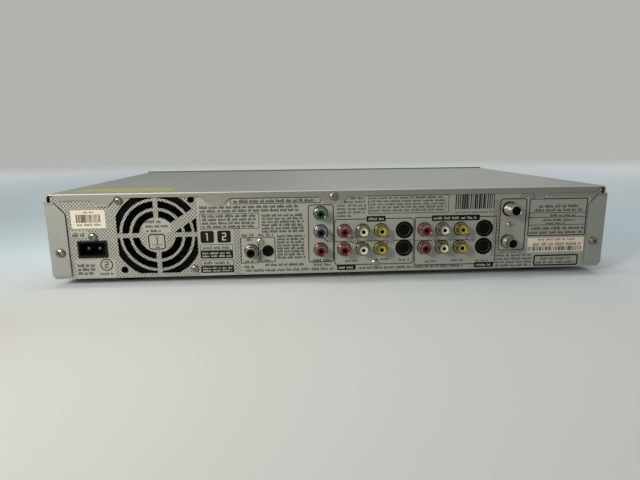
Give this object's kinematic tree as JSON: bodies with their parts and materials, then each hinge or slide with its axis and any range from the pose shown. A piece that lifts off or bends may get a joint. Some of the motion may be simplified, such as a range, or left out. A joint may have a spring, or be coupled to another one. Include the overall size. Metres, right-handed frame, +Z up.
{
  "type": "disc and hard drive video recorder",
  "caption": "Flat sheet-metal video recorder case with a motor tray, front flap and keys, a cooling fan and a connector panel on its back.",
  "frame": {"origin": "centre of the bounding box on the table, under the middle of the unit", "axes": "+Z up, -Y out of the front with the tray, +Y out of the connector panel, +X towards the mains inlet"},
  "size_m": [0.42, 0.28, 0.0694],
  "materials": {
    "chassis_steel": "bare zinc-plated sheet",
    "panel_paint": "satin warm silver-grey paint",
    "cover_paint": "satin silver paint",
    "foot_rubber": "matt",
    "screw_steel": "plated",
    "jack_plastic": "black housings with nickel-plated sleeves",
    "nickel_can": "nickel-plated",
    "black_plastic": "satin black",
    "board_laminate": "solder mask",
    "front_plastic": "silver metallic",
    "smoked_plastic": "polished, smoked",
    "tube_glass": "dark glass",
    "drive_plastic": "satin grey",
    "grey_plastic": "satin grey",
    "gear_plastic": "natural acetal",
    "cast_metal": "as cast",
    "platter_metal": "mirror",
    "ribbon_plastic": "satin"
  },
  "bodies": {
    "unit": {"base_chassis": "chassis_steel", "rear_panel": "panel_paint", "top_cover": "cover_paint", "foot_front_left": "foot_rubber", "foot_front_right": "foot_rubber", "foot_rear_left": "foot_rubber", "foot_rear_right": "foot_rubber", "cover_screw_left": "screw_steel", "cover_screw_right": "screw_steel", "cover_screw_top": "screw_steel", "fan_screw_upper": "screw_steel", "fan_screw_lower": "screw_steel", "inlet_screw": "screw_steel", "output_jack_block": "jack_plastic", "input_jack_block": "jack_plastic", "component_jack_block": "jack_plastic", "digital_jack_block": "jack_plastic", "tuner_block": "nickel_can", "ac_inlet": "black_plastic", "fan_frame": "black_plastic", "main_board": "board_laminate", "power_board": "board_laminate", "front_panel": "front_plastic", "front_board": "board_laminate", "display_window": "smoked_plastic", "display_tube": "tube_glass", "front_jack_block": "jack_plastic", "drive_frame": "drive_plastic", "drive_bridge": "chassis_steel", "loading_motor": "nickel_can", "drive_belt": "foot_rubber", "hdd_bracket": "chassis_steel", "hdd_base": "cast_metal", "hdd_lid": "nickel_can", "hdd_ribbon": "ribbon_plastic", "drive_ribbon": "ribbon_plastic"},
    "tray": {"disc_tray": "grey_plastic", "tray_front": "front_plastic"},
    "tray_gear": {"tray_gear": "gear_plastic"},
    "loading_pulley": {"loading_pulley": "gear_plastic"},
    "motor_pulley": {"motor_pulley": "gear_plastic"},
    "traverse": {"traverse": "cast_metal", "guide_rod_left": "screw_steel", "guide_rod_right": "screw_steel"},
    "turntable": {"turntable": "black_plastic"},
    "pickup_sled": {"pickup_sled": "black_plastic"},
    "lead_screw": {"lead_screw": "screw_steel"},
    "lift_slider": {"lift_slider": "grey_plastic"},
    "clamper": {"clamper": "grey_plastic"},
    "fan_rotor": {"fan_rotor": "black_plastic"},
    "hdd_platters": {"hdd_platters": "platter_metal"},
    "hdd_actuator": {"hdd_actuator": "cast_metal"},
    "power_button": {"power_button": "front_plastic"},
    "open_close_button": {"open_close_button": "front_plastic"},
    "stop_button": {"stop_button": "front_plastic"},
    "play_button": {"play_button": "front_plastic"},
    "record_button": {"record_button": "front_plastic"},
    "flap_door": {"flap_door": "front_plastic"}
  },
  "joints": [
    {"name": "tray_slide", "type": "slide", "parent": "unit", "child": "tray", "axis": [0, -1, 0], "range_m": [0, 0.136]},
    {"name": "tray_gear_spin", "type": "hinge", "parent": "unit", "child": "tray_gear", "pos_m": [-0.063, -0.1105, 0.036], "axis": [0, 0, 1], "range_deg": [0, 975]},
    {"name": "loading_pulley_spin", "type": "hinge", "parent": "unit", "child": "loading_pulley", "pos_m": [-0.05, -0.1105, 0.032], "axis": [0, 0, 1], "range_deg": [-1560, 0]},
    {"name": "motor_pulley_spin", "type": "hinge", "parent": "unit", "child": "motor_pulley", "pos_m": [-0.02, -0.109, 0.029], "axis": [0, 0, 1], "range_deg": [-3570, 0]},
    {"name": "traverse_lift", "type": "hinge", "parent": "unit", "child": "traverse", "pos_m": [-0.014, 0.012, 0.032], "axis": [-1, 0, 0], "range_deg": [0, 6]},
    {"name": "lift_slide", "type": "slide", "parent": "unit", "child": "lift_slider", "axis": [1, 0, 0], "range_m": [0, 0.02]},
    {"name": "turntable_spin", "type": "hinge", "parent": "traverse", "child": "turntable", "pos_m": [-0.014, -0.06761, 0.03369], "axis": [0, -0.1045, 0.9945], "continuous": true},
    {"name": "sled_slide", "type": "slide", "parent": "traverse", "child": "pickup_sled", "axis": [0, 0.9945, 0.1045], "range_m": [0, 0.034]},
    {"name": "lead_screw_spin", "type": "hinge", "parent": "traverse", "child": "lead_screw", "pos_m": [0, -0.02778, 0.02782], "axis": [0, 0.9945, 0.1045], "range_deg": [-4090, 0]},
    {"name": "clamper_spin", "type": "hinge", "parent": "unit", "child": "clamper", "pos_m": [-0.014, -0.067, 0.05], "axis": [0, 0, 1], "continuous": true},
    {"name": "fan_spin", "type": "hinge", "parent": "unit", "child": "fan_rotor", "pos_m": [0.1318, 0.114, 0.038], "axis": [0, 1, 0], "continuous": true},
    {"name": "platter_spin", "type": "hinge", "parent": "unit", "child": "hdd_platters", "pos_m": [-0.1452, -0.053, 0.028], "axis": [0, 0, 1], "continuous": true},
    {"name": "actuator_swing", "type": "hinge", "parent": "unit", "child": "hdd_actuator", "pos_m": [-0.116, 0.012, 0.03], "axis": [0, 0, 1], "range_deg": [0, 28]},
    {"name": "power_press", "type": "slide", "parent": "unit", "child": "power_button", "axis": [0, 1, 0], "range_m": [0, 0.0008], "stiffness_N_per_m": 400},
    {"name": "open_close_press", "type": "slide", "parent": "unit", "child": "open_close_button", "axis": [0, 1, 0], "range_m": [0, 0.0008], "stiffness_N_per_m": 400},
    {"name": "stop_press", "type": "slide", "parent": "unit", "child": "stop_button", "axis": [0, 1, 0], "range_m": [0, 0.0008], "stiffness_N_per_m": 400},
    {"name": "play_press", "type": "slide", "parent": "unit", "child": "play_button", "axis": [0, 1, 0], "range_m": [0, 0.0008], "stiffness_N_per_m": 400},
    {"name": "record_press", "type": "slide", "parent": "unit", "child": "record_button", "axis": [0, 1, 0], "range_m": [0, 0.0008], "stiffness_N_per_m": 400},
    {"name": "flap_turn", "type": "hinge", "parent": "unit", "child": "flap_door", "pos_m": [-0.145, -0.13875, 0.01355], "axis": [1, 0, 0], "range_deg": [0, 90]}
  ],
  "couplings": [
    {"joint": "tray_gear_spin", "follows": "tray_slide", "rad_per_m": 125},
    {"joint": "loading_pulley_spin", "follows": "tray_slide", "rad_per_m": -200},
    {"joint": "motor_pulley_spin", "follows": "tray_slide", "rad_per_m": -457.9},
    {"joint": "lift_slide", "follows": "traverse_lift", "m_per_rad": 0.1909},
    {"joint": "lead_screw_spin", "follows": "sled_slide", "rad_per_m": -2094.4}
  ]
}
